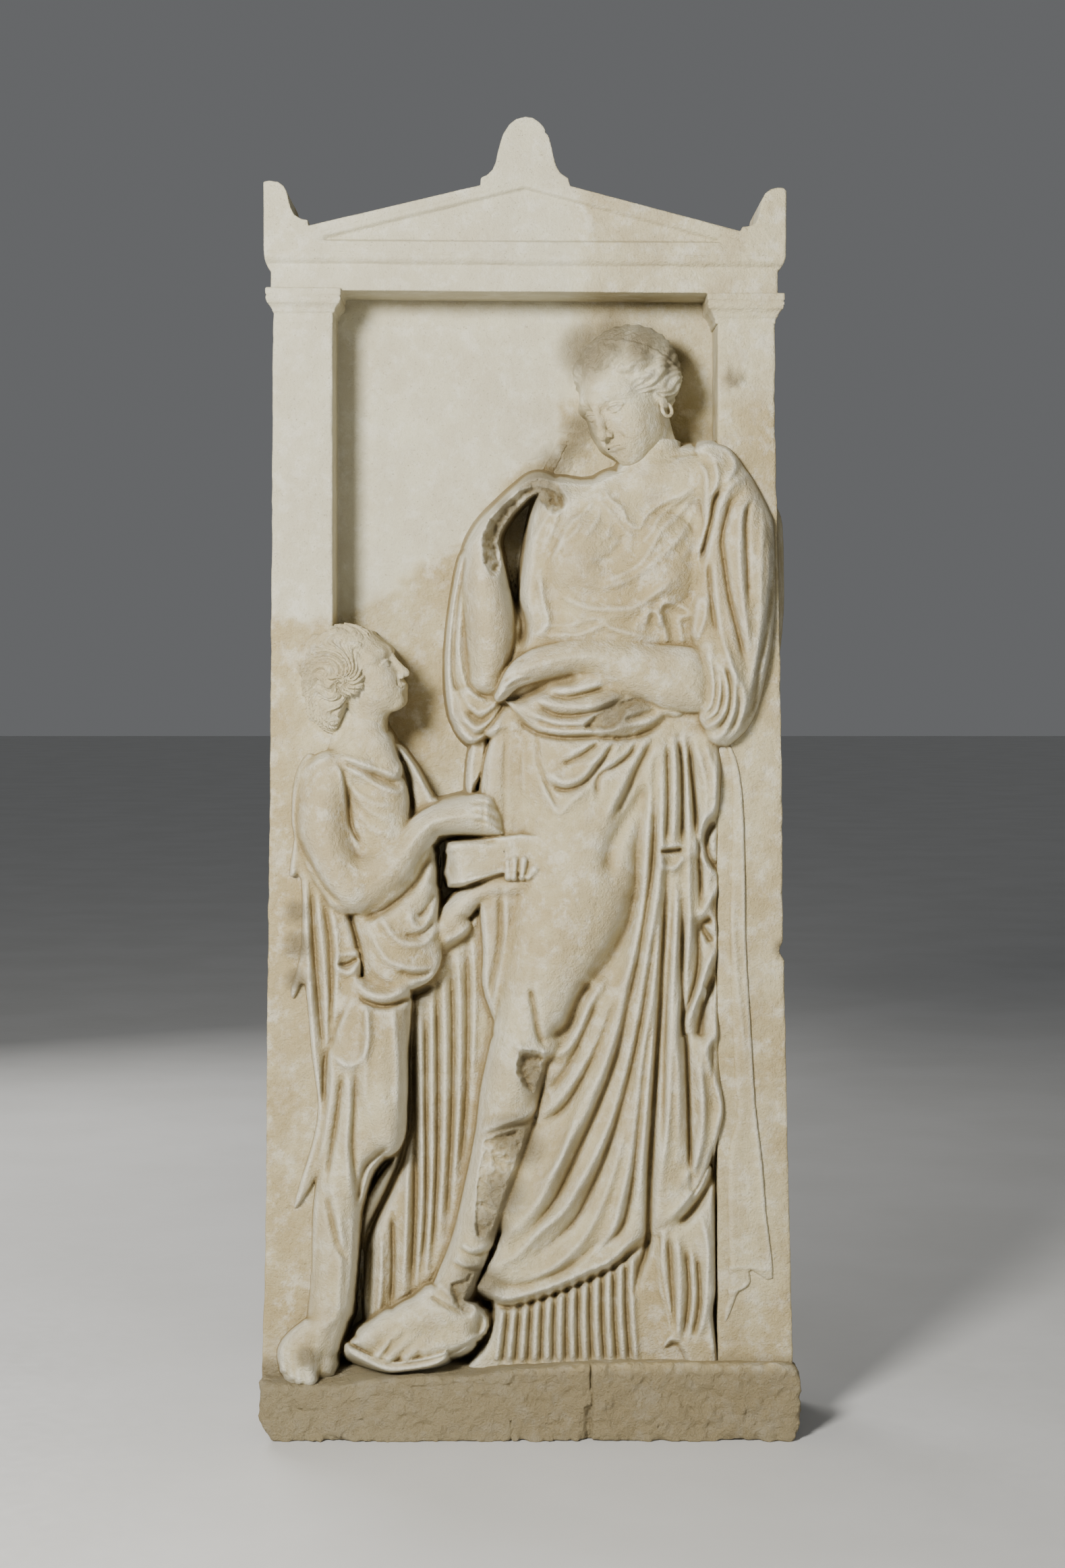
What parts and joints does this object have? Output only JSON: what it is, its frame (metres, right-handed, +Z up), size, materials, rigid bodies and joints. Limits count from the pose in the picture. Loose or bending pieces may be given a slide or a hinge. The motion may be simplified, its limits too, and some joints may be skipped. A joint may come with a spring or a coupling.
{
  "type": "carved stone stele",
  "caption": "An upright carved marble grave stele: a gabled crown over two pilasters, and in the recess a draped woman and a small girl with a box, on a rough base",
  "frame": {"origin": "under the middle of the base, on its underside", "axes": "+Z up, the carved front faces -Y, +X to the viewer's right"},
  "size_m": [0.725, 0.24, 1.779],
  "materials": {
    "marble": "weathered, warm white marble"
  },
  "bodies": {
    "root": {"stele": "marble"}
  },
  "joints": []
}
